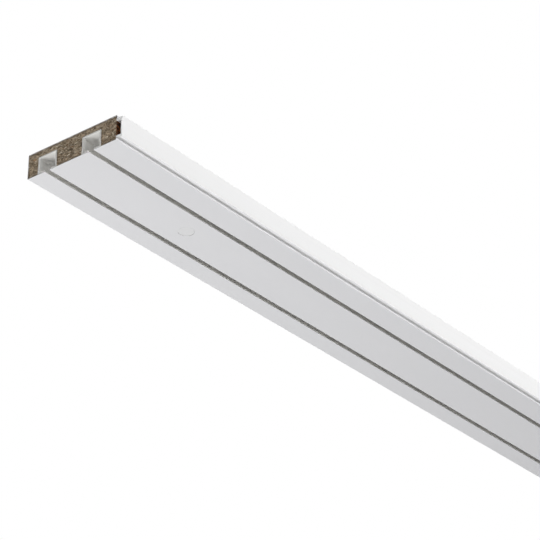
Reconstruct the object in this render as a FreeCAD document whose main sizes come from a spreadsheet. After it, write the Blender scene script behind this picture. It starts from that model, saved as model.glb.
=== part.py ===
import FreeCAD, Part
import Sketcher
import math
import os

from collections import namedtuple
from FreeCAD import Vector

# A two-run ceiling curtain track: a chipboard bar that is cut across at both ends, wrapped in
# white film, with a plastic channel pressed into each of its two grooves, a hollow white
# fascia along its front edge and three screw holes closed by flush caps.
# The origin is on the ceiling face, at the middle screw hole. X runs along the track, the
# fascia faces -Y and Z points up to the ceiling, so everything hangs below zero.

# Driving sizes in millimetres
SIZES = {
    # The bar, over its film
    "track_length": 1200.0,
    "board_width": 80.0,
    "board_height": 19.0,
    "edge_radius": 0.4,
    # Slot centre to slot centre, and how far the pair lies behind the middle of the bar
    "slot_pitch": 40.0,
    "slot_set_back": 2.0,
    "slot_width": 4.2,
    # The plastic channel in each groove, whose lips end a little behind the edges of the film
    "liner_width": 17.2,
    "liner_height": 13.4,
    "liner_wall": 1.0,
    "liner_lip": 1.0,
    "lip_set_back": 0.5,
    "liner_outer_corner": 0.6,
    "liner_inner_corner": 0.4,
    "liner_clearance": 0.1,
    # The film and how far it laps onto the raw front edge, at the floor and at the ceiling
    "film_thickness": 0.3,
    "low_lap": 2.0,
    "high_lap": 2.6,
    # The screw holes, drilled from below and spread evenly from one this far from each end
    "hole_count": 3,
    "hole_margin": 120.0,
    "shank_diameter": 5.0,
    "seat_diameter": 12.0,
    "seat_depth": 9.0,
    # The flush cap in each screw hole
    "cap_clearance": 0.1,
    "cap_disc": 1.2,
    "cap_skirt_height": 4.0,
    "cap_skirt_wall": 0.9,
    "cap_taper": 0.25,
    "cap_bevel": 0.3,
    # The fascia's section, from the raw front edge outwards
    "fascia_standoff": 4.65,
    "fascia_wall": 0.8,
    "fascia_bow": 0.55,
    "fascia_drop": 2.2,
    "fascia_lift": 0.6,
    "fascia_nose": 1.9,
    "nose_flat": 1.3,
    "web_thickness": 1.6,
    "flange_thickness": 0.8,
    "lap_clearance": 0.1,
    "fascia_round": 0.25,
}

# Places that follow from the sizes, each as a formula of the sheet.
# Across is measured along Y and up along Z, both from the origin.
PLACES = {
    "middle": "0",
    "ceiling": "0",
    "floor": "-board_height",
    # Slots and grooves of the rear run, which the front run mirrors
    "run_place": "slot_pitch / 2",
    "rear_margin": "(board_width - slot_pitch) / 2 - slot_set_back",
    "slot_near": "run_place - slot_width / 2",
    "slot_far": "run_place + slot_width / 2",
    "groove_half": "liner_width / 2 + liner_clearance",
    "groove_near": "run_place - groove_half",
    "groove_far": "run_place + groove_half",
    # The chipboard inside its film
    "rear_face": "run_place + rear_margin",
    "front_face": "rear_face - board_width",
    "film_front": "front_face - film_thickness",
    "core_rear": "rear_face - film_thickness",
    "core_top": "-film_thickness",
    "core_floor": "floor + film_thickness",
    "core_radius": "edge_radius - film_thickness",
    # One channel about its own middle
    "lip_end": "slot_width / 2 + lip_set_back",
    "liner_half": "liner_width / 2",
    "liner_inside": "liner_half - liner_wall",
    "liner_top": "core_floor + liner_height",
    "liner_roof": "liner_top - liner_wall",
    "lip_top": "core_floor + liner_lip",
    "groove_top": "liner_top + liner_clearance",
    # Screw holes and caps
    "first_hole": "hole_margin - track_length / 2",
    "hole_spacing": "-2 * first_hole / (hole_count - 1)",
    "cap_radius": "seat_diameter / 2 - cap_clearance",
    "cap_face_radius": "cap_radius - cap_bevel",
    "cap_bevel_top": "floor + cap_bevel",
    "cap_ceiling": "floor + cap_disc",
    "skirt_inside": "cap_radius - cap_skirt_wall",
    "skirt_end": "cap_radius - cap_taper",
    "skirt_top": "cap_ceiling + cap_skirt_height",
    # The fascia, whose sheet is an arc that bows in towards the board
    "low_lap_edge": "floor + low_lap",
    "high_lap_edge": "-high_lap",
    "flange_bottom": "low_lap_edge + lap_clearance",
    "flange_top": "flange_bottom + flange_thickness",
    "web_top": "high_lap_edge - lap_clearance",
    "web_bottom": "web_top - web_thickness",
    "fascia_top": "-fascia_drop",
    "fascia_floor": "floor + fascia_lift",
    "fascia_face": "front_face - fascia_standoff - fascia_wall",
    "nose_radius": "fascia_nose - nose_flat",
    "nose_top": "fascia_floor + nose_radius",
    "nose_centre": "fascia_face + nose_radius",
    "nose_back": "fascia_face + fascia_nose",
    "sheet_chord": "fascia_top - nose_top",
    "bow_radius": "sheet_chord * sheet_chord / (8 * fascia_bow) + fascia_bow / 2",
    "back_radius": "bow_radius + fascia_wall",
    "bow_middle": "(fascia_top + nose_top) / 2",
    "bow_centre": "fascia_face + fascia_bow - bow_radius",
    "back_at_top": "bow_centre + sqrt(back_radius ^ 2 - (fascia_top - bow_middle) ^ 2)",
    "back_over_web": "bow_centre + sqrt(back_radius ^ 2 - (web_top - bow_middle) ^ 2)",
    "back_under_web": "bow_centre + sqrt(back_radius ^ 2 - (web_bottom - bow_middle) ^ 2)",
    "back_over_flange": "bow_centre + sqrt(back_radius ^ 2 - (flange_top - bow_middle) ^ 2)",
}

SHEET = "Sizes"
START, END, CENTRE = 1, 2, 3
ORIGIN = (-1, START)
NEAR = 0.02

# An arc from one corner to the next: the named places of its centre, its named radius, and
# whether it turns clockwise
Bend = namedtuple("Bend", "across up radius clockwise")

document = FreeCAD.newDocument("curtain_track")


def fill_sheet():
    """Write the driving sizes and the places that follow from them into one spreadsheet."""
    page = document.addObject("Spreadsheet::Sheet", SHEET)
    cells = [(name, str(number)) for name, number in SIZES.items()]
    cells += [(name, "=" + formula) for name, formula in PLACES.items()]
    for row, (name, content) in enumerate(cells, 1):
        page.set(f"A{row}", name)
        page.set(f"B{row}", content)
        page.setAlias(f"B{row}", name)
    document.recompute()
    return page


sheet = fill_sheet()


def size(name):
    """The value of one named size or place, which may carry a minus sign."""
    number = float(sheet.get(name.lstrip("-")))
    return -number if name.startswith("-") else number


def cell(name):
    """The formula that reads one named size or place, which may carry a minus sign."""
    return f"-{SHEET}.{name[1:]}" if name.startswith("-") else f"{SHEET}.{name}"


def bind(thing, prop, name):
    """Tie a property to one named size or place."""
    thing.setExpression(prop, cell(name))


def new_body(label):
    """An empty body with the name of its sub-part."""
    body = document.addObject("PartDesign::Body", label)
    body.Label = label
    return body


def datum(body, role):
    """One of the body's own origin planes or axes."""
    return next(item for item in body.Origin.OriginFeatures if item.Role == role)


def new_sketch(body, name, role):
    """A sketch on one of the body's origin planes."""
    sketch = body.newObject("Sketcher::SketchObject", name)
    sketch.AttachmentSupport = [(datum(body, role), "")]
    sketch.MapMode = "FlatFace"
    return sketch


def constrain(sketch, name, kind, *geometry):
    """Add one dimension to a sketch and tie it to a named size or place."""
    number = sketch.addConstraint(Sketcher.Constraint(kind, *geometry, size(name)))
    sketch.setExpression(f"Constraints[{number}]", cell(name))


def bend_between(start, end, bend):
    """The arc that leads from one corner to the next round the bend's centre."""
    centre = Vector(size(bend.across), size(bend.up), 0)
    first, last = (end, start) if bend.clockwise else (start, end)
    turn = [math.atan2(point.y - centre.y, point.x - centre.x) for point in (first, last)]
    circle = Part.Circle(centre, Vector(0, 0, 1), size(bend.radius))
    return Part.ArcOfCircle(circle, *turn)


def draw_outline(sketch, corners, bends=None):
    """Draw a closed outline through corners, each a pair of named places.

    The edge that leaves a corner is straight unless bends holds an arc for its number.
    """
    bends = bends or {}
    points = [Vector(size(across), size(up), 0) for across, up in corners]
    points.append(points[0])
    tails, heads = [], []
    for number, (start, end) in enumerate(zip(points, points[1:])):
        bend = bends.get(number)
        edge = bend_between(start, end, bend) if bend else Part.LineSegment(start, end)
        sketch.addGeometry(edge, False)
        turned = bool(bend and bend.clockwise)
        tails.append((number, END if turned else START))
        heads.append((number, START if turned else END))
    for head, tail in zip(heads, tails[1:] + tails[:1]):
        sketch.addConstraint(Sketcher.Constraint("Coincident", *head, *tail))
    for tail, (across, up) in zip(tails, corners):
        constrain(sketch, across, "DistanceX", *ORIGIN, *tail)
        constrain(sketch, up, "DistanceY", *ORIGIN, *tail)
    for number, bend in bends.items():
        constrain(sketch, bend.radius, "Radius", number)


def pad_along_track(body, sketch, name):
    """Run a section the whole length of the track, half of it each way from the middle."""
    pad = body.newObject("PartDesign::Pad", name)
    pad.Profile = sketch
    pad.SideType = "Symmetric"
    bind(pad, "Length", "track_length")
    document.recompute()
    return pad


def section_body(label, corners, bends=None):
    """A body that is one section run along the track. Returns the body and its pad."""
    body = new_body(label)
    sketch = new_sketch(body, label + "_section", "YZ_Plane")
    draw_outline(sketch, corners, bends)
    return body, pad_along_track(body, sketch, label + "_length")


def long_edges(shape, corners):
    """Names of the edges that run along the track at these corners of its section."""
    places = [(size(across), size(up)) for across, up in corners]
    names = []
    for number, edge in enumerate(shape.Edges, 1):
        box = edge.BoundBox
        straight = box.YLength + box.ZLength < NEAR < box.XLength
        offsets = [math.hypot(box.YMin - across, box.ZMin - up) for across, up in places]
        if straight and min(offsets) < NEAR:
            names.append(f"Edge{number}")
    if len(names) != len(corners):
        raise ValueError(f"found {len(names)} of {len(corners)} edges to round")
    return names


def round_edges(base, name, corners, radius):
    """Round some of the long edges of a section by a named radius."""
    body = base.getParentGeoFeatureGroup()
    fillet = body.newObject("PartDesign::Fillet", name)
    fillet.Base = (base, long_edges(base.Shape, corners))
    bind(fillet, "Radius", radius)
    document.recompute()
    return fillet


def drill_up(body, name, diameter, depth=None):
    """Drill one round hole up from the floor at the first screw place, to a depth or through."""
    sketch = new_sketch(body, name + "_circle", "XY_Plane")
    bind(sketch, ".AttachmentOffset.Base.z", "floor")
    centre = Vector(size("first_hole"), 0, 0)
    round_line = Part.Circle(centre, Vector(0, 0, 1), size(diameter) / 2)
    circle = sketch.addGeometry(round_line, False)
    sketch.addConstraint(Sketcher.Constraint("PointOnObject", circle, CENTRE, -1))
    constrain(sketch, "first_hole", "DistanceX", *ORIGIN, circle, CENTRE)
    constrain(sketch, diameter, "Diameter", circle)
    document.recompute()
    before = body.Shape.Volume
    pocket = body.newObject("PartDesign::Pocket", name)
    pocket.Profile = sketch
    pocket.Reversed = True
    if depth:
        bind(pocket, "Length", depth)
    else:
        pocket.Type = "ThroughAll"
    document.recompute()
    if body.Shape.Volume >= before:
        raise ValueError(f"{name} removed nothing")
    return pocket


def repeat_holes(body, features):
    """Repeat the first screw place's holes at every screw place."""
    pattern = body.newObject("PartDesign::LinearPattern", body.Label + "_holes")
    pattern.Originals = features
    pattern.Direction = (datum(body, "X_Axis"), [""])
    pattern.Mode = "Spacing"
    bind(pattern, "Offset", "hole_spacing")
    bind(pattern, "Occurrences", "hole_count")
    body.Tip = pattern
    document.recompute()


def make_core_board():
    """The chipboard bar: a square groove for each run and the stepped screw holes."""
    corners = [
        ("front_face", "core_floor"),
        ("-groove_far", "core_floor"),
        ("-groove_far", "groove_top"),
        ("-groove_near", "groove_top"),
        ("-groove_near", "core_floor"),
        ("groove_near", "core_floor"),
        ("groove_near", "groove_top"),
        ("groove_far", "groove_top"),
        ("groove_far", "core_floor"),
        ("core_rear", "core_floor"),
        ("core_rear", "core_top"),
        ("front_face", "core_top"),
    ]
    body, bar = section_body("core_board", corners)
    arrises = [corners[0], *corners[9:]]
    round_edges(bar, "board_arrises", arrises, "core_radius")
    shank = drill_up(body, "shank_hole", "shank_diameter")
    seat = drill_up(body, "head_seat", "seat_diameter", "seat_depth")
    repeat_holes(body, [shank, seat])
    return body


def make_liner(label, side):
    """A plastic channel: a flat tube whose floor has the slot between its two lips."""
    corners = [
        ("lip_end", "core_floor"),
        ("liner_half", "core_floor"),
        ("liner_half", "liner_top"),
        ("-liner_half", "liner_top"),
        ("-liner_half", "core_floor"),
        ("-lip_end", "core_floor"),
        ("-lip_end", "lip_top"),
        ("-liner_inside", "lip_top"),
        ("-liner_inside", "liner_roof"),
        ("liner_inside", "liner_roof"),
        ("liner_inside", "lip_top"),
        ("lip_end", "lip_top"),
    ]
    body, tube = section_body(label, corners)
    outside = round_edges(tube, label + "_outside", corners[2:4], "liner_outer_corner")
    round_edges(outside, label + "_inside", corners[7:11], "liner_inner_corner")
    body.setExpression(".Placement.Base.y", f"{side} * {cell('run_place')}")
    return body


def make_rear_wrap():
    """The film from the rear slot round the rear edge, over the top and onto the front edge."""
    outer = [
        ("slot_far", "floor"),
        ("rear_face", "floor"),
        ("rear_face", "ceiling"),
        ("film_front", "ceiling"),
    ]
    inner = [
        ("film_front", "high_lap_edge"),
        ("front_face", "high_lap_edge"),
        ("front_face", "core_top"),
        ("core_rear", "core_top"),
        ("core_rear", "core_floor"),
        ("slot_far", "core_floor"),
    ]
    body, skin = section_body("rear_film_wrap", outer + inner)
    outside = round_edges(skin, "rear_wrap_outside", outer[1:], "edge_radius")
    round_edges(outside, "rear_wrap_inside", inner[2:5], "core_radius")
    repeat_holes(body, [drill_up(body, "top_film_hole", "shank_diameter")])
    return body


def make_middle_strip():
    """The flat film between the two slots, with a round hole for each cap."""
    corners = [
        ("-slot_near", "floor"),
        ("slot_near", "floor"),
        ("slot_near", "core_floor"),
        ("-slot_near", "core_floor"),
    ]
    body, _ = section_body("middle_film_strip", corners)
    repeat_holes(body, [drill_up(body, "cap_hole", "seat_diameter")])
    return body


def make_front_strip():
    """The film from the front slot to the front edge, and a little way up it."""
    corners = [
        ("-slot_far", "floor"),
        ("film_front", "floor"),
        ("film_front", "low_lap_edge"),
        ("front_face", "low_lap_edge"),
        ("front_face", "core_floor"),
        ("-slot_far", "core_floor"),
    ]
    body, skin = section_body("front_film_strip", corners)
    outside = round_edges(skin, "front_strip_outside", corners[1:2], "edge_radius")
    round_edges(outside, "front_strip_inside", corners[4:5], "core_radius")
    return body


def make_fascia():
    """The hollow fascia: a sheet bowed inwards, a web above, a flange below and a round nose."""
    corners = [
        ("front_face", "flange_bottom"),
        ("nose_back", "flange_bottom"),
        ("nose_back", "fascia_floor"),
        ("nose_centre", "fascia_floor"),
        ("fascia_face", "nose_top"),
        ("fascia_face", "fascia_top"),
        ("back_at_top", "fascia_top"),
        ("back_over_web", "web_top"),
        ("front_face", "web_top"),
        ("front_face", "web_bottom"),
        ("back_under_web", "web_bottom"),
        ("back_over_flange", "flange_top"),
        ("front_face", "flange_top"),
    ]
    bends = {
        3: Bend("nose_centre", "nose_top", "nose_radius", True),
        4: Bend("bow_centre", "bow_middle", "bow_radius", False),
        6: Bend("bow_centre", "bow_middle", "back_radius", True),
        10: Bend("bow_centre", "bow_middle", "back_radius", True),
    }
    _, profile = section_body("front_fascia", corners, bends)
    round_edges(profile, "fascia_top_edges", corners[5:7], "fascia_round")


def make_cap(number):
    """A flush cap: a bevelled disc with a tapered skirt that presses into the screw's seat."""
    body = new_body(f"hole_cap_{number + 1}")
    sketch = new_sketch(body, f"cap_section_{number + 1}", "XZ_Plane")
    corners = [
        ("middle", "floor"),
        ("cap_face_radius", "floor"),
        ("cap_radius", "cap_bevel_top"),
        ("cap_radius", "cap_ceiling"),
        ("skirt_end", "skirt_top"),
        ("skirt_inside", "skirt_top"),
        ("skirt_inside", "cap_ceiling"),
        ("middle", "cap_ceiling"),
    ]
    draw_outline(sketch, corners)
    turned = body.newObject("PartDesign::Revolution", f"cap_turned_{number + 1}")
    turned.Profile = sketch
    turned.ReferenceAxis = (datum(body, "Z_Axis"), [""])
    turned.Angle = 360
    place = f"{cell('first_hole')} + {number} * {cell('hole_spacing')}"
    body.setExpression(".Placement.Base.x", place)
    document.recompute()
    return body


def make_track():
    """Every sub-part of the track, where it belongs."""
    make_core_board()
    make_liner("rear_channel_liner", 1)
    make_liner("front_channel_liner", -1)
    make_rear_wrap()
    make_middle_strip()
    make_front_strip()
    make_fascia()
    for number in range(int(size("hole_count"))):
        make_cap(number)


def check_document():
    """Stop if any object failed to build or any sub-part has no sound solid."""
    document.recompute()
    for item in document.Objects:
        if "Invalid" in item.State or "Error" in item.State:
            raise ValueError(f"{item.Name} did not build")
    for body in document.findObjects("PartDesign::Body"):
        if body.Shape.isNull() or not body.Shape.isValid():
            raise ValueError(f"{body.Label} has no sound shape")


def write_parts():
    """Write each sub-part to a STEP file of its own name."""
    os.makedirs("parts", exist_ok=True)
    for body in document.findObjects("PartDesign::Body"):
        body.Shape.exportStep(f"parts/{body.Label}.step")


make_track()
check_document()
write_parts()
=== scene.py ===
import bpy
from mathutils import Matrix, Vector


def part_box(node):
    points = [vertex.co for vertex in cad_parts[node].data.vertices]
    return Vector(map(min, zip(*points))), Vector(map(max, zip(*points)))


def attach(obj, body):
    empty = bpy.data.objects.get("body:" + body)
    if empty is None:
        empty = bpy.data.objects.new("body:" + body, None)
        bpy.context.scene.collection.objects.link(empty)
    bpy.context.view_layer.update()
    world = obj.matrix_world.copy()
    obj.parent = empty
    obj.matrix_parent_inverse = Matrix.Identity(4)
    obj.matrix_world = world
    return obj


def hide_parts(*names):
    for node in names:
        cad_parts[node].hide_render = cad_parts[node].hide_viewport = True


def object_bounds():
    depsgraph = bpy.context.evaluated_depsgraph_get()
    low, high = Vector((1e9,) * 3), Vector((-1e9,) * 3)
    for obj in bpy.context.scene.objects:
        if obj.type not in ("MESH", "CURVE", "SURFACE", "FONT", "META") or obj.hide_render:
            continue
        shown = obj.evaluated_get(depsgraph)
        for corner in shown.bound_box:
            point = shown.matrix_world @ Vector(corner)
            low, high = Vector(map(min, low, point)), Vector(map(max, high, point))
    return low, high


bl_info = {
    "name": "Curtain Track",
    "version": (1, 0, 0),
    "blender": (4, 5, 0),
    "location": "View3D > Sidebar > Curtain Track",
    "description": "Dresses a two-run ceiling curtain track and builds the stage it is seen on",
    "category": "Object",
}

import math

import bmesh
import bpy
from bpy.props import FloatProperty, FloatVectorProperty, PointerProperty
from bpy.types import Operator, Panel, PropertyGroup
from mathutils import Vector, noise

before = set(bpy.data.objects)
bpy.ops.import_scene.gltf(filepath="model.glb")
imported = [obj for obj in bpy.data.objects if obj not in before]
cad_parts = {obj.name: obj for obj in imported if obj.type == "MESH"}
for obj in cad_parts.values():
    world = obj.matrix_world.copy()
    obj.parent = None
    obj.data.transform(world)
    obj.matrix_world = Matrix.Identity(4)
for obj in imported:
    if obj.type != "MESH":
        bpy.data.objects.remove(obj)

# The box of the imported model, before anything is added to it
CAD_BOX = [list(corner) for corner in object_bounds()]

MM = 0.001
BODY = "root"

# Points closer than this are one point, and a point this far from a plane is on it
WELD = 0.001 * MM
ON_PLANE = 0.01 * MM

# A face whose normal has more than this share along an axis faces along that axis
FACING = 0.9

# Faces that meet at less than this angle are one flat face, or one smooth surface
FLAT_BELOW = math.radians(0.2)
SMOOTH_BELOW = math.radians(30)

# Square cuts across each long piece: every 40 mm, and closer together near its ends
CUT_SPACING = 40 * MM
CUTS_EACH_WAY = 14
END_CUTS = (5 * MM, 15 * MM)

# Both slots lie nearer to the middle of the track than this, and its long edges don't
SLOTS_WITHIN = 30 * MM

# Name, place, the point it looks at, and size in metres, then power in watts
LAMPS = (
    # Lights the fascia
    ("front_lamp", (0.2, -3.1, -0.5), (0.0, 0, -0.01), (3.4, 1.0), 91),
    # Reaches a little way up into the slots
    ("slot_lamp", (-0.4, -1.25, -1.15), (-0.4, 0, 0), (1.4, 0.9), 2.6),
    # Lights the underside, too low to reach deep into the groove beside the fascia's nose
    ("rear_lamp", (-1.25, 1.4, -0.95), (-0.6, 0, 0), (2.0, 0.6), 39),
    # Lights the sawn end
    ("end_lamp", (-2.4, 0.05, -0.35), (-0.6, 0, -0.01), (0.8, 0.8), 11.7),
    # Lights the top, and casts the shadow on the floor
    ("top_lamp", (0.0, 0.2, 2.6), (0, 0, 0), (2.4, 2.0), 52),
)
FLOOR_HEIGHT = -1.5
FLOOR_HALF_WIDTH = 30.0


def linear(hex_colour):
    """Linear red, green, blue and alpha of an sRGB hex colour."""
    parts = [int(hex_colour[i:i + 2], 16) / 255 for i in (1, 3, 5)]
    parts = [c / 12.92 if c <= 0.04045 else ((c + 0.055) / 1.055) ** 2.4 for c in parts]
    return (*parts, 1.0)


def colour(name, description, hex_colour):
    """A colour that a user can change, whose default is an sRGB hex value."""
    return FloatVectorProperty(
        name=name,
        description=description,
        subtype="COLOR",
        size=4,
        min=0.0,
        max=1.0,
        default=linear(hex_colour),
    )


def length(name, description, millimetres):
    """A length that a user can change, whose default is in millimetres."""
    return FloatProperty(
        name=name,
        description=description,
        subtype="DISTANCE",
        unit="LENGTH",
        precision=5,
        min=0.0,
        default=millimetres * MM,
    )


class TrackSizes(PropertyGroup):
    """The sizes of the details that the solids leave out."""

    film_edge: length("Film Edge", "Rounding of the film where the slots cut it", 0.04)
    saw_grid: length("Saw Grid", "Spacing of the points that model the sawn ends", 0.5)
    chip_depth: length("Chip Depth", "Deepest hole that a torn chip leaves", 0.6)
    wall_wave: length("Wall Wave", "How far the saw pushed a channel's wall inwards", 0.35)
    wave_length: length("Wave Length", "How far from the end the saw moved the wall", 3.0)


class TrackColours(PropertyGroup):
    """The colours of the track's finishes."""

    film: colour("Film", "The wrapping film", "#dadadc")
    # The cut film's grey is partly painted shade, which keeps the film's edges dark in the
    # slots
    film_cut_and_shade: colour("Cut Film And Shade", "The film's edge where it is cut", "#6f6b67")
    channel: colour("Channels", "The plastic of the two channels", "#eeedea")
    fascia: colour("Fascia", "The plastic of the fascia", "#ededed")
    cap: colour("Caps", "The plastic of the hole caps", "#dbdbdc")
    pale_chip: colour("Pale Chips", "Palest flakes of the chipboard", "#c9beaa")
    tan_chip: colour("Tan Chips", "Commonest flakes of the chipboard", "#a3937d")
    red_chip: colour("Red Chips", "Reddish flakes of bark", "#87694f")
    dark_chip: colour("Dark Chips", "Darkest flakes of the chipboard", "#6f6351")
    # Painted shade in the gaps between flakes and in the holes of dropped flakes
    pit_shade: colour("Pit Shade", "Gaps between the flakes", "#2f251c")
    # The raw front edge's flakes, made darker and redder as painted shade of the fascia's
    # hollow
    shaded_edge_chip: colour("Shaded Edge Chips", "Flakes of the raw front edge", "#7d4a24")
    # The raw front edge's palest flakes, made orange as painted bounce light in the fascia's
    # hollow
    bounce_lit_edge_chip: colour("Bounce Lit Edge Chips", "Palest flakes of the raw front edge, orange as painted bounce light", "#a8642f")
    surface_chip: colour("Surface Chips", "The fine dense layer under the film", "#5d5853")
    floor: colour("Floor", "The studio floor, as it is seen", "#f2f2f2")
    floor_bounce: colour("Floor Bounce", "The light that the floor sends back", "#a0a0a0")


def add_node(tree, kind, inputs=None, stops=(), **settings):
    """Add one node. Each input gets a value, or the output socket that feeds it."""
    node = tree.nodes.new(kind)
    for name, value in settings.items():
        setattr(node, name, value)
    for name, value in (inputs or {}).items():
        if isinstance(value, bpy.types.NodeSocket):
            tree.links.new(value, node.inputs[name])
        else:
            node.inputs[name].default_value = value
    for number, (place, shade) in enumerate(stops):
        ramp = node.color_ramp.elements
        stop = ramp[number] if number < 2 else ramp.new(place)
        stop.position = place
        stop.color = shade
    return node


def new_material(name):
    """An empty material: (the material, its tree, its shader)."""
    material = bpy.data.materials.new(name)
    material.use_nodes = True
    tree = material.node_tree
    tree.nodes.clear()
    shader = add_node(tree, "ShaderNodeBsdfPrincipled")
    add_node(tree, "ShaderNodeOutputMaterial", {"Surface": shader.outputs["BSDF"]})
    return material, tree, shader


def per_metre(*millimetres):
    """The texture scale that gives a pattern of these sizes on coordinates in metres."""
    return tuple(1 / (size * MM) for size in millimetres)


def shaded(shade, share):
    """A colour with this share of its light."""
    return (*(share * part for part in shade[:3]), 1.0)


def plastic(name, shade, roughness, grain, contrast, relief):
    """White plastic with a faint grain whose size along X, Y and Z is in millimetres."""
    material, tree, shader = new_material(name)
    shader.inputs["IOR"].default_value = 1.53
    place = add_node(tree, "ShaderNodeTexCoord").outputs["Object"]
    scaled = add_node(
        tree, "ShaderNodeMapping", {"Vector": place, "Scale": per_metre(*grain)}
    ).outputs["Vector"]
    drag = add_node(
        tree, "ShaderNodeTexNoise", {"Vector": scaled, "Scale": 1.0, "Detail": 2.0}
    ).outputs["Fac"]
    tint = add_node(
        tree,
        "ShaderNodeValToRGB",
        {"Fac": drag},
        stops=((0.3, shaded(shade, contrast)), (0.65, shade)),
    ).outputs["Color"]
    tree.links.new(tint, shader.inputs["Base Color"])
    sheen = add_node(
        tree,
        "ShaderNodeMapRange",
        {"Value": drag, "To Min": roughness - 0.05, "To Max": roughness + 0.05},
    ).outputs["Result"]
    tree.links.new(sheen, shader.inputs["Roughness"])
    lifted = add_node(
        tree, "ShaderNodeBump", {"Height": drag, "Strength": 1.0, "Distance": relief * MM}
    ).outputs["Normal"]
    tree.links.new(lifted, shader.inputs["Normal"])
    return material


def film_face(tints):
    """PVC film, calendered: smooth and satin, with only a broad, faint unevenness."""
    return plastic("PVC Film, Calendered", tints.film, 0.6, (90, 30, 30), 0.985, 0.002)


def film_cut_and_shade(tints):
    """The same film cut by the saw: a rough grey line, partly the cut's own grey and partly
    painted shade, which keeps the film's edges dark in the slots under the front lamp.
    """
    return plastic("PVC Film, Sawn And Shaded", tints.film_cut_and_shade, 0.8, (2, 1, 1), 0.75, 0.02)


def channel_face(tints):
    """PVC, extruded: satin, with fine lines along the channel that the die left.

    The lines are drawn 1.2 mm wide, coarser than the real ones, so that they show.
    """
    return plastic("PVC, Extruded Satin", tints.channel, 0.42, (200, 1.2, 1.2), 0.98, 0.001)


def channel_cut(tints):
    """PVC, sawn: matte and greyer, with short scratches across the wall."""
    return plastic("PVC, Sawn", shaded(tints.channel, 0.6), 0.7, (1, 0.4, 3), 0.85, 0.02)


def fascia_face(tints):
    """PVC, extruded and calibrated: smoother than the channels, with faint long lines.

    The lines are drawn 2.5 mm wide, coarser than the real ones, so that they show.
    """
    return plastic("PVC, Extruded Smooth", tints.fascia, 0.55, (400, 2.5, 2.5), 0.985, 0.002)


def fascia_cut(tints):
    """PVC, sawn, of the fascia's whiter mix: matte and a little darker than its face."""
    dull = shaded(tints.fascia, 0.8)
    return plastic("PVC, Sawn White", dull, 0.7, (1, 0.4, 3), 0.85, 0.02)


def cap_face(tints):
    """Polyethylene, moulded: softly matte, with a fine even texture from the mould.

    The texture is drawn in 1.5 mm grains, coarser than the real one, so that it shows.
    """
    return plastic("Polyethylene, Moulded", tints.cap, 0.6, (1.5, 1.5, 1.5), 0.97, 0.006)


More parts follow.
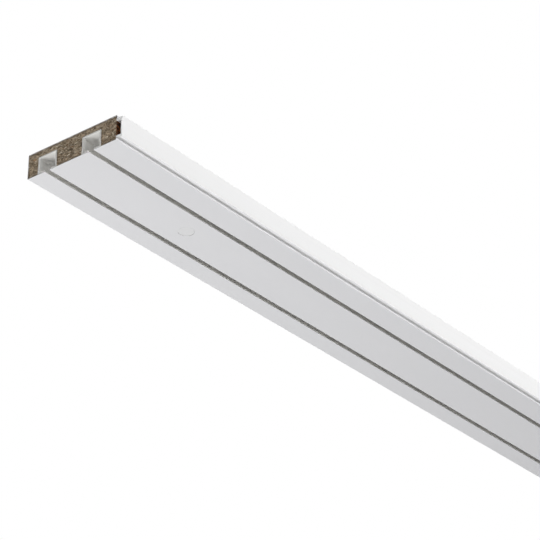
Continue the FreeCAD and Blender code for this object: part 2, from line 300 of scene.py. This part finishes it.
def chipboard(name, flakes, tints, rough):
    """Chipboard: long thin flakes pressed flat, gaps painted dark as their shade, fibres and a
    few specks of bark.

    flakes holds the stops of the colour ramp that shades one flake from the next.
    """
    material, tree, shader = new_material(name)
    shader.inputs["Roughness"].default_value = rough
    shader.inputs["Specular IOR Level"].default_value = 0.25
    place = add_node(tree, "ShaderNodeTexCoord").outputs["Object"]

    # Flakes lie at slightly different slopes, so the pattern is bent before it is drawn
    wander = add_node(
        tree,
        "ShaderNodeTexNoise",
        {"Vector": place, "Scale": per_metre(4)[0], "Detail": 2.0},
    ).outputs["Color"]
    spread = add_node(
        tree, "ShaderNodeVectorMath", {0: wander, 1: (0.5, 0.5, 0.5)}, operation="SUBTRACT"
    ).outputs["Vector"]
    push = add_node(
        tree, "ShaderNodeVectorMath", {0: spread, "Scale": 4.5 * MM}, operation="SCALE"
    ).outputs["Vector"]
    bent = add_node(
        tree, "ShaderNodeVectorMath", {0: place, 1: push}, operation="ADD"
    ).outputs["Vector"]

    # Flakes 3.6 mm long and 0.8 mm thick
    laid = add_node(
        tree, "ShaderNodeMapping", {"Vector": bent, "Scale": per_metre(3.6, 3.6, 0.8)}
    ).outputs["Vector"]
    cells = add_node(tree, "ShaderNodeTexVoronoi", {"Vector": laid, "Scale": 1.0})
    gaps = add_node(
        tree,
        "ShaderNodeTexVoronoi",
        {"Vector": laid, "Scale": 1.0},
        feature="DISTANCE_TO_EDGE",
    ).outputs["Distance"]
    pick = add_node(
        tree, "ShaderNodeSeparateColor", {"Color": cells.outputs["Color"]}
    ).outputs["Red"]
    tint = add_node(tree, "ShaderNodeValToRGB", {"Fac": pick}, stops=flakes).outputs["Color"]

    # Wood fibres, about 0.25 mm thick and drawn 0.4 mm thick so that they show
    fibre_place = add_node(
        tree, "ShaderNodeMapping", {"Vector": bent, "Scale": per_metre(4, 4, 0.4)}
    ).outputs["Vector"]
    fibres = add_node(
        tree, "ShaderNodeTexNoise", {"Vector": fibre_place, "Scale": 1.0, "Detail": 4.0}
    ).outputs["Fac"]
    grey = add_node(
        tree,
        "ShaderNodeMapRange",
        {"Value": fibres, "From Min": 0.35, "From Max": 0.65, "To Min": 0.55, "To Max": 1.25},
    ).outputs["Result"]
    fibrous = add_node(
        tree, "ShaderNodeVectorMath", {0: tint, "Scale": grey}, operation="SCALE"
    ).outputs["Vector"]

    # Gaps between flakes, and specks where a flake has dropped out, painted dark as the shade
    # inside them
    edge = add_node(
        tree,
        "ShaderNodeMapRange",
        {"Value": gaps, "From Max": 0.16, "To Min": 0.75, "To Max": 0.0},
    ).outputs["Result"]
    speck_place = add_node(
        tree, "ShaderNodeMapping", {"Vector": bent, "Scale": per_metre(1.6, 1.6, 0.8)}
    ).outputs["Vector"]
    speck_noise = add_node(
        tree, "ShaderNodeTexNoise", {"Vector": speck_place, "Scale": 1.0, "Detail": 1.0}
    ).outputs["Fac"]
    speck = add_node(
        tree,
        "ShaderNodeMapRange",
        {"Value": speck_noise, "From Min": 0.57, "From Max": 0.64, "To Max": 0.85},
    ).outputs["Result"]
    hole = add_node(
        tree, "ShaderNodeMath", {0: edge, 1: speck}, operation="MAXIMUM"
    ).outputs["Value"]
    torn = add_node(
        tree, "ShaderNodeMixRGB", {"Fac": hole, "Color1": fibrous, "Color2": tints.pit_shade}
    ).outputs["Color"]

    # The outer millimetre of the board, above and below, is pressed from fine dust
    height = add_node(tree, "ShaderNodeSeparateXYZ", {"Vector": place}).outputs["Z"]
    centred = add_node(
        tree,
        "ShaderNodeMath",
        {0: height, 1: -(CAD_BOX[0][2] + CAD_BOX[1][2]) / 2},
        operation="ADD",
    ).outputs["Value"]
    from_middle = add_node(
        tree, "ShaderNodeMath", {0: centred}, operation="ABSOLUTE"
    ).outputs["Value"]
    fine = add_node(
        tree,
        "ShaderNodeMapRange",
        {"Value": from_middle, "From Min": 7.9 * MM, "From Max": 9.0 * MM, "To Max": 0.7},
    ).outputs["Result"]
    layered = add_node(
        tree, "ShaderNodeMixRGB", {"Fac": fine, "Color1": torn, "Color2": tints.surface_chip}
    ).outputs["Color"]
    tree.links.new(layered, shader.inputs["Base Color"])

    solid = add_node(
        tree, "ShaderNodeMath", {0: fibres, 1: hole}, operation="SUBTRACT"
    ).outputs["Value"]
    relief = add_node(
        tree, "ShaderNodeBump", {"Height": solid, "Strength": 0.8, "Distance": 0.15 * MM}
    ).outputs["Normal"]
    tree.links.new(relief, shader.inputs["Normal"])
    return material


def sawn_chips(tints):
    """Chipboard, sawn across: dry, matte, speckled brown."""
    stops = (
        (0.0, tints.dark_chip),
        (1.0, tints.pale_chip),
        (0.3, tints.tan_chip),
        (0.72, tints.tan_chip),
        (0.78, tints.red_chip),
        (0.84, tints.tan_chip),
    )
    return chipboard("Chipboard, Sawn", stops, tints, 0.9)


def shaded_edge_chips(tints):
    """Chipboard, raw front edge, deep in the fascia's hollow: darker and redder, as painted
    shade and painted bounce light.
    """
    stops = ((0.0, tints.pit_shade), (1.0, tints.bounce_lit_edge_chip), (0.45, tints.shaded_edge_chip))
    return chipboard("Chipboard, Raw Edge, Painted Shade", stops, tints, 0.85)


def add_object(name, data):
    """Put data in the scene as an object at the origin."""
    thing = bpy.data.objects.new(name, data)
    bpy.context.scene.collection.objects.link(thing)
    return thing


def frame_end():
    """Distance from the middle of the track to its end."""
    return CAD_BOX[1][0]


def cut_across(shape, place):
    """Cut a whole shape square across the track."""
    bmesh.ops.bisect_plane(
        shape,
        geom=[*shape.verts, *shape.edges, *shape.faces],
        dist=WELD,
        plane_co=(place, 0, 0),
        plane_no=(1, 0, 0),
    )


def cut_both_ends(shape, reach):
    """Cut a shape square across, at this distance from either end of the track."""
    for side in (-1, 1):
        cut_across(shape, side * (frame_end() - reach))


def copy_solid(node):
    """A merged copy of a solid's mesh, with flat faces in one piece between square cuts.

    Without the cuts a rounded edge would be made of slivers as long as the track, which
    shade in streaks.
    """
    shape = bmesh.new()
    shape.from_mesh(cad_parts[node].data)
    bmesh.ops.remove_doubles(shape, verts=shape.verts, dist=2 * WELD)
    bmesh.ops.dissolve_limit(
        shape, angle_limit=FLAT_BELOW, verts=shape.verts, edges=shape.edges
    )
    for number in range(-CUTS_EACH_WAY, CUTS_EACH_WAY + 1):
        cut_across(shape, number * CUT_SPACING)
    for reach in END_CUTS:
        cut_both_ends(shape, reach)
    return shape


def sawn_faces(shape):
    """The faces that the saw left across the track's two ends."""
    return [face for face in shape.faces if abs(face.normal.x) > FACING]


def near_ends(shape, reach):
    """Everything that lies within reach of either end of the track."""
    limit = frame_end() - reach - ON_PLANE
    parts = [*shape.verts, *shape.edges, *shape.faces]
    return [
        part
        for part in parts
        if min(abs(vert.co.x) for vert in getattr(part, "verts", [part])) > limit
    ]


def cut_grid(shape, reach, step, axes):
    """Cut the faces near the ends into a grid, across these axes."""
    for axis in axes:
        places = [vert.co[axis] for vert in shape.verts]
        low, high = min(places), max(places)
        normal = [float(axis == other) for other in range(3)]
        for number in range(1, int((high - low) / step)):
            point = [0.0, 0.0, 0.0]
            point[axis] = low + number * step
            bmesh.ops.bisect_plane(
                shape,
                geom=near_ends(shape, reach),
                dist=WELD,
                plane_co=point,
                plane_no=normal,
            )


def round_edges(shape, edges, offset):
    """Round edges of a shape by an offset from each."""
    bmesh.ops.bevel(
        shape,
        geom=edges,
        offset=offset,
        offset_type="OFFSET",
        affect="EDGES",
        segments=3,
        profile=0.5,
        material=-1,
    )


def add_piece(shape, node, slot, *materials):
    """Show a modelled piece in place of its solid. Faces keep their material numbers."""
    for edge in shape.edges:
        edge.smooth = edge.calc_face_angle(0.0) < SMOOTH_BELOW
    for face in shape.faces:
        face.smooth = True
    mesh = bpy.data.meshes.new(node + "_detail")
    shape.to_mesh(mesh)
    shape.free()
    for material in materials:
        mesh.materials.append(material)
    piece = add_object(node + "_detail", mesh)
    weighted = piece.modifiers.new("weighted_normals", "WEIGHTED_NORMAL")
    weighted.keep_sharp = True
    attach(piece, BODY)
    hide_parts(node)


class CURTAINTRACK_OT_board(Operator):
    """Model the chipboard bar, with flakes torn out of its sawn ends"""

    bl_idname = "curtain_track.board"
    bl_label = "Chipboard Bar"

    def execute(self, context):
        sizes = context.scene.curtain_track_sizes
        tints = context.scene.curtain_track_colours
        shape = copy_solid("core_board")
        cut_grid(shape, 0.0, sizes.saw_grid, (2, 1))
        # The raw front edge, in the fascia's hollow, gets the darker and redder chipboard,
        # which is painted shade and bounce light
        for face in shape.faces:
            face.material_index = 1 if face.normal.y < -FACING else 0

        # Flakes lie flat, so a torn one leaves a hole that is longer than it is high
        length_scale, height_scale = per_metre(2.4, 0.9)
        ends = {vert for face in sawn_faces(shape) for vert in face.verts}
        for vert in ends:
            side = math.copysign(1.0, vert.co.x)
            # The 7 keeps the two ends far apart in the pattern, so they aren't alike
            place = Vector((7 * side, vert.co.y * length_scale, vert.co.z * height_scale))
            flake = noise.voronoi(place)[1][0]
            # Just under half of the flakes are torn out, each to a depth of its own
            missing = max(0.0, noise.cell(flake * 9.0) - 0.55) / 0.45
            rough = 0.25 + 0.2 * noise.noise(place * 2.0)
            depth = sizes.chip_depth * min(1.0, 0.75 * missing + rough)
            vert.co.x -= side * depth
        add_piece(shape, "core_board", "chipboard", sawn_chips(tints), shaded_edge_chips(tints))
        return {"FINISHED"}


class CURTAINTRACK_OT_channels(Operator):
    """Model the two plastic channels, whose thin walls the saw has pushed a little inwards"""

    bl_idname = "curtain_track.channels"
    bl_label = "Glider Channels"

    def execute(self, context):
        sizes = context.scene.curtain_track_sizes
        tints = context.scene.curtain_track_colours
        materials = channel_face(tints), channel_cut(tints)
        for node in ("front_channel_liner", "rear_channel_liner"):
            shape = copy_solid(node)
            cut_both_ends(shape, sizes.wave_length)
            cut_grid(shape, sizes.wave_length, 2 * sizes.saw_grid, (2, 1))
            low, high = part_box(node)
            middle = (low.y + high.y) / 2
            for vert in shape.verts:
                ahead = abs(vert.co.x) - (frame_end() - sizes.wave_length)
                if ahead < 0:
                    continue
                share = (ahead / sizes.wave_length) ** 2
                # Both walls wave alike, in waves 3.5 mm long
                place = Vector((vert.co.x, middle, vert.co.z)) * per_metre(3.5)[0]
                wave = max(0.5 + noise.noise(place), 0.0)
                # The lips in the floor and the middle of the ceiling hardly move
                across = math.copysign(1.0, vert.co.y - middle)
                thin = min(1.0, abs(vert.co.y - middle) / (6 * MM))
                rise = min(1.0, (vert.co.z - low.z) / (3 * MM))
                vert.co.y -= across * sizes.wall_wave * wave * share * thin * rise
            for face in sawn_faces(shape):
                face.material_index = 1
            add_piece(shape, node, "channel_plastic", *materials)
        return {"FINISHED"}


class CURTAINTRACK_OT_film(Operator):
    """Model the three strips of wrapping film, rounded where the slots cut them"""

    bl_idname = "curtain_track.film"
    bl_label = "Wrapping Film"

    def execute(self, context):
        sizes = context.scene.curtain_track_sizes
        tints = context.scene.curtain_track_colours
        materials = film_face(tints), film_cut_and_shade(tints)
        for node in ("front_film_strip", "middle_film_strip", "rear_film_wrap"):
            shape = copy_solid(node)
            underside = CAD_BOX[0][2]
            slot_edges = []
            for edge in shape.edges:
                first, last = (vert.co for vert in edge.verts)
                runs_along = abs(first.x - last.x) > 1 * MM
                lowest = max(first.z, last.z) < underside + ON_PLANE
                sharp = edge.calc_face_angle(0.0) > math.radians(60)
                if runs_along and lowest and sharp:
                    slot_edges.append(edge)
            round_edges(shape, slot_edges, sizes.film_edge)
            shape.normal_update()
            # Sawn faces and the film's edges beside the slots get the cut film's grey, which is
            # partly painted shade
            for face in shape.faces:
                sawn = abs(face.normal.x) > FACING
                upright = abs(face.normal.y) > FACING
                by_slot = upright and abs(face.calc_center_median().y) < SLOTS_WITHIN
                face.material_index = 1 if sawn or by_slot else 0
            add_piece(shape, node, "white_film", *materials)
        return {"FINISHED"}


class CURTAINTRACK_OT_fascia(Operator):
    """Model the fascia, smooth all round and matte where it is sawn"""

    bl_idname = "curtain_track.fascia"
    bl_label = "Fascia"

    def execute(self, context):
        tints = context.scene.curtain_track_colours
        shape = copy_solid("front_fascia")
        for face in sawn_faces(shape):
            face.material_index = 1
        add_piece(
            shape, "front_fascia", "fascia_plastic", fascia_face(tints), fascia_cut(tints)
        )
        return {"FINISHED"}


class CURTAINTRACK_OT_caps(Operator):
    """Turn the flush caps of the screw holes"""

    bl_idname = "curtain_track.caps"
    bl_label = "Hole Caps"

    def execute(self, context):
        tints = context.scene.curtain_track_colours
        material = cap_face(tints)
        chamfer, disc, taper, wall = (size * MM for size in (0.15, 1.2, 0.25, 0.9))
        for node in sorted(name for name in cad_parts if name.startswith("hole_cap_")):
            low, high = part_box(node)
            radius, tall = (high.x - low.x) / 2, high.z - low.z
            centre = Vector(((low.x + high.x) / 2, (low.y + high.y) / 2, low.z))
            # Half of the section, from the middle of the face round to the skirt's inside
            section = [
                (0.0, 0.0),
                (radius - chamfer, 0.0),
                (radius, chamfer),
                (radius, disc),
                (radius - taper, tall),
                (radius - wall, tall),
                (radius - wall, disc),
                (0.0, disc),
            ]
            shape = bmesh.new()
            points = [
                shape.verts.new(centre + Vector((across, 0, up))) for across, up in section
            ]
            for first, last in zip(points, points[1:]):
                shape.edges.new((first, last))
            bmesh.ops.spin(
                shape,
                geom=[*shape.verts, *shape.edges],
                cent=centre,
                axis=(0, 0, 1),
                angle=math.tau,
                steps=96,
                use_merge=True,
            )
            bmesh.ops.remove_doubles(shape, verts=shape.verts, dist=WELD)
            bmesh.ops.recalc_face_normals(shape, faces=shape.faces)
            rim = {
                vert
                for vert in shape.verts
                if abs(vert.co.z - low.z) < ON_PLANE
                and abs((vert.co - centre).length - (radius - chamfer)) < ON_PLANE
            }
            rim_edges = [edge for edge in shape.edges if rim.issuperset(edge.verts)]
            round_edges(shape, rim_edges, 0.08 * MM)
            add_piece(shape, node, "cap_plastic", material)
        return {"FINISHED"}


def add_softbox(name, place, aim, size, watts):
    """Add a rectangular lamp that looks at a point, and isn't seen itself."""
    lamp = bpy.data.lights.new(name, "AREA")
    lamp.shape = "RECTANGLE"
    lamp.size, lamp.size_y = size
    lamp.energy = watts
    thing = add_object(name, lamp)
    thing.location = place
    thing.rotation_euler = (Vector(aim) - Vector(place)).to_track_quat("-Z", "Y").to_euler()
    thing.visible_camera = False
    # A lamp mirrored at a low angle would bleach the whole underside
    thing.visible_glossy = False


def seen_or_mirrored(tree):
    """1 for what the camera sees, straight or in a mirror, and 0 for light that bounces."""
    path = add_node(tree, "ShaderNodeLightPath").outputs
    mirror = add_node(
        tree,
        "ShaderNodeMath",
        {0: path["Is Glossy Ray"], 1: path["Is Transmission Ray"]},
        operation="MAXIMUM",
    ).outputs["Value"]
    return add_node(
        tree, "ShaderNodeMath", {0: mirror, 1: path["Is Camera Ray"]}, operation="MAXIMUM"
    ).outputs["Value"]


def floor_paint(tints):
    """Painted studio floor: matte, fading into the white backdrop, and clear from below."""
    material, tree, shader = new_material("Studio Paint, Matte")
    shader.inputs["Roughness"].default_value = 0.9
    shader.inputs["Specular IOR Level"].default_value = 0.1
    seen = seen_or_mirrored(tree)
    paint = add_node(
        tree,
        "ShaderNodeMixRGB",
        {"Fac": seen, "Color1": tints.floor_bounce, "Color2": tints.floor},
    ).outputs["Color"]
    tree.links.new(paint, shader.inputs["Base Color"])

    # Half white even under the track, so that its shadow shows at half strength
    place = add_node(tree, "ShaderNodeTexCoord").outputs["Object"]
    reach = add_node(
        tree, "ShaderNodeVectorMath", {0: place}, operation="LENGTH"
    ).outputs["Value"]
    far = add_node(
        tree,
        "ShaderNodeMapRange",
        {"Value": reach, "From Min": 1.8, "From Max": 6.0, "To Min": 0.5},
        interpolation_type="SMOOTHSTEP",
    ).outputs["Result"]
    fade = add_node(
        tree, "ShaderNodeMath", {0: far, 1: seen}, operation="MULTIPLY"
    ).outputs["Value"]
    white = add_node(tree, "ShaderNodeEmission").outputs["Emission"]
    faded = add_node(
        tree, "ShaderNodeMixShader", {0: fade, 1: shader.outputs["BSDF"], 2: white}
    ).outputs["Shader"]

    below = add_node(tree, "ShaderNodeNewGeometry").outputs["Backfacing"]
    clear = add_node(tree, "ShaderNodeBsdfTransparent").outputs["BSDF"]
    one_sided = add_node(
        tree, "ShaderNodeMixShader", {0: below, 1: faded, 2: clear}
    ).outputs["Shader"]
    output = next(node for node in tree.nodes if node.type == "OUTPUT_MATERIAL")
    tree.links.new(one_sided, output.inputs["Surface"])
    return material


def add_floor(tints):
    """Add the studio floor, well below the track."""
    shape = bmesh.new()
    bmesh.ops.create_grid(shape, x_segments=1, y_segments=1, size=FLOOR_HALF_WIDTH)
    bmesh.ops.translate(shape, verts=shape.verts, vec=(0, 0, FLOOR_HEIGHT))
    mesh = bpy.data.meshes.new("studio_floor")
    shape.to_mesh(mesh)
    shape.free()
    mesh.materials.append(floor_paint(tints))
    add_object("studio_floor", mesh)


def new_backdrop():
    """A world that looks white, and sends only a little light."""
    world = bpy.data.worlds.new("studio")
    world.use_nodes = True
    tree = world.node_tree
    tree.nodes.clear()
    level = add_node(
        tree,
        "ShaderNodeMapRange",
        {"Value": seen_or_mirrored(tree), "To Min": 0.15, "To Max": 1.0},
    ).outputs["Result"]
    sky = add_node(
        tree, "ShaderNodeBackground", {"Color": linear("#ffffff"), "Strength": level}
    )
    add_node(tree, "ShaderNodeOutputWorld", {"Surface": sky.outputs["Background"]})
    return world


def add_camera():
    """Add the photograph's camera: below the near end, looking up along the track."""
    lens = bpy.data.cameras.new("camera")
    lens.lens = 138.65
    lens.sensor_width = 36
    lens.clip_start = 0.01
    camera = add_object("camera", lens)
    camera.location = (-1.43422, -0.83123, -0.75131)
    camera.rotation_euler = [math.radians(a) for a in (119.0239, 0.1245, -51.5312)]
    return camera


class CURTAINTRACK_OT_stage(Operator):
    """Build the floor, the lamps, the backdrop and the camera"""

    bl_idname = "curtain_track.stage"
    bl_label = "Stage"

    def execute(self, context):
        scene = context.scene
        add_floor(scene.curtain_track_colours)
        for lamp in LAMPS:
            add_softbox(*lamp)
        scene.world = new_backdrop()
        scene.camera = add_camera()
        scene.view_settings.view_transform = "Standard"
        return {"FINISHED"}


STEPS = (
    CURTAINTRACK_OT_board,
    CURTAINTRACK_OT_channels,
    CURTAINTRACK_OT_film,
    CURTAINTRACK_OT_fascia,
    CURTAINTRACK_OT_caps,
    CURTAINTRACK_OT_stage,
)


class CURTAINTRACK_PT_build(Panel):
    """The steps that build the track, in order"""

    bl_label = "Curtain Track"
    bl_idname = "CURTAINTRACK_PT_build"
    bl_space_type = "VIEW_3D"
    bl_region_type = "UI"
    bl_category = "Curtain Track"

    def draw(self, context):
        column = self.layout.column()
        for group in (
            context.scene.curtain_track_sizes,
            context.scene.curtain_track_colours,
        ):
            for name in group.__annotations__:
                column.prop(group, name)
        for step in STEPS:
            column.operator(step.bl_idname)


CLASSES = (TrackSizes, TrackColours, *STEPS, CURTAINTRACK_PT_build)


def register():
    """Add the properties, the operators and the panel."""
    for cls in CLASSES:
        bpy.utils.register_class(cls)
    bpy.types.Scene.curtain_track_sizes = PointerProperty(type=TrackSizes)
    bpy.types.Scene.curtain_track_colours = PointerProperty(type=TrackColours)


def unregister():
    """Take away what register added."""
    del bpy.types.Scene.curtain_track_colours
    del bpy.types.Scene.curtain_track_sizes
    for cls in reversed(CLASSES):
        bpy.utils.unregister_class(cls)


def main():
    """Build the visual model in the open scene."""
    register()
    for step in STEPS:
        group, name = step.bl_idname.split(".")
        getattr(getattr(bpy.ops, group), name)()
    bpy.context.view_layer.update()


if __name__ == "__main__":
    main()
